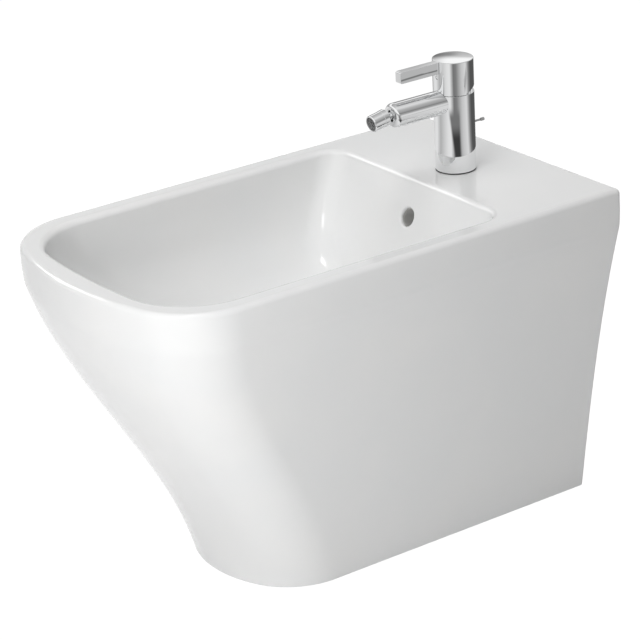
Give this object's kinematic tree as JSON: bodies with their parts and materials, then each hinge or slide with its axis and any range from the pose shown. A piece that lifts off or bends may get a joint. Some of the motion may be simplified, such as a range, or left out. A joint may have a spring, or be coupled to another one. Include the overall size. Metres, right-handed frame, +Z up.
{
  "type": "floor standing bidet",
  "caption": "Back-to-wall floor standing bidet in white ceramic with a deep bowl, overflow, single-lever mixer with a ball-joint spray nozzle, pop-up waste and bottle trap.",
  "frame": {"origin": "on the floor, at the middle of the outline seen from above", "axes": "+Z up, -Y to the nose of the bowl, +Y to the wall behind, +X to the right of a person who faces the wall"},
  "size_m": [0.37, 0.63, 0.536],
  "materials": {
    "ceramic": "white glaze, high gloss",
    "chrome": "polished chrome plate",
    "brass": "bare machined brass",
    "copper": "bare copper tube",
    "steel": "zinc plated and stainless steel",
    "rubber": "matt black rubber",
    "white_plastic": "white acetal"
  },
  "bodies": {
    "root": {"ceramic_body": "ceramic", "mixer_body": "chrome", "mixer_base_gasket": "rubber", "mixer_stud": "brass", "clamp_rubber": "rubber", "clamp_plate": "steel", "stud_nut": "brass", "supply_tail_hot": "copper", "supply_tail_cold": "copper", "dome_ring": "chrome", "cartridge_body": "white_plastic", "cartridge_nut": "brass", "ball_stud": "chrome", "ball_seats": "white_plastic", "ball_nut": "chrome", "waste_flange": "chrome", "flange_gasket": "rubber", "under_gasket": "rubber", "waste_backnut": "steel", "waste_body": "chrome", "trap_inlet_nut": "chrome", "trap_dip_tube": "white_plastic", "trap_body": "chrome", "trap_cup": "chrome", "trap_cup_seal": "rubber", "trap_outlet_nut": "chrome", "outlet_pipe": "chrome", "floor_bracket_left": "steel", "floor_bracket_right": "steel", "bracket_pads": "rubber", "bracket_screws": "steel"},
    "cartridge_turn": {"cartridge_rotor": "white_plastic", "spindle_pin": "steel"},
    "handle": {"handle_cap": "chrome", "lever_bar": "chrome", "lever_screw": "steel", "spindle": "steel", "handle_grub_screw": "steel", "index_plug": "chrome"},
    "nozzle_pan": {"ball_seal": "rubber"},
    "nozzle": {"aerator_barrel": "chrome", "aerator_insert": "white_plastic"},
    "pull_rod": {"lift_rod": "chrome", "lift_knob": "chrome", "rod_clevis": "steel", "clevis_screw": "steel"},
    "rocker": {"ball_lever": "chrome"},
    "waste_plug": {"plug": "chrome", "plug_seal": "rubber"}
  },
  "joints": [
    {"name": "temperature_turn", "type": "hinge", "parent": "root", "child": "cartridge_turn", "pos_m": [0, 0.2215, 0.497], "axis": [0, 0, 1], "range_deg": [-45, 45]},
    {"name": "flow_lift", "type": "hinge", "parent": "cartridge_turn", "child": "handle", "pos_m": [0, 0.2215, 0.497], "axis": [-1, 0, 0], "range_deg": [0, 18]},
    {"name": "nozzle_swing", "type": "hinge", "parent": "root", "child": "nozzle_pan", "pos_m": [0, 0.1195, 0.4852], "axis": [0, 0, 1], "range_deg": [-15, 15]},
    {"name": "nozzle_tilt", "type": "hinge", "parent": "nozzle_pan", "child": "nozzle", "pos_m": [0, 0.1195, 0.4852], "axis": [1, 0, 0], "range_deg": [-26, 6]},
    {"name": "rod_lift", "type": "slide", "parent": "root", "child": "pull_rod", "axis": [0, 0, 1], "range_m": [0, 0.03]},
    {"name": "lever_rock", "type": "hinge", "parent": "root", "child": "rocker", "pos_m": [0, 0.093, 0.175], "axis": [1, 0, 0], "range_deg": [-0.5, 12.43]},
    {"name": "plug_drop", "type": "slide", "parent": "root", "child": "waste_plug", "axis": [0, 0, 1], "range_m": [-0.0062, 0.0005]}
  ],
  "couplings": [
    {"joint": "lever_rock", "follows": "rod_lift", "rad_per_m": 6.9147},
    {"joint": "plug_drop", "follows": "rod_lift", "ratio": -0.1943}
  ]
}
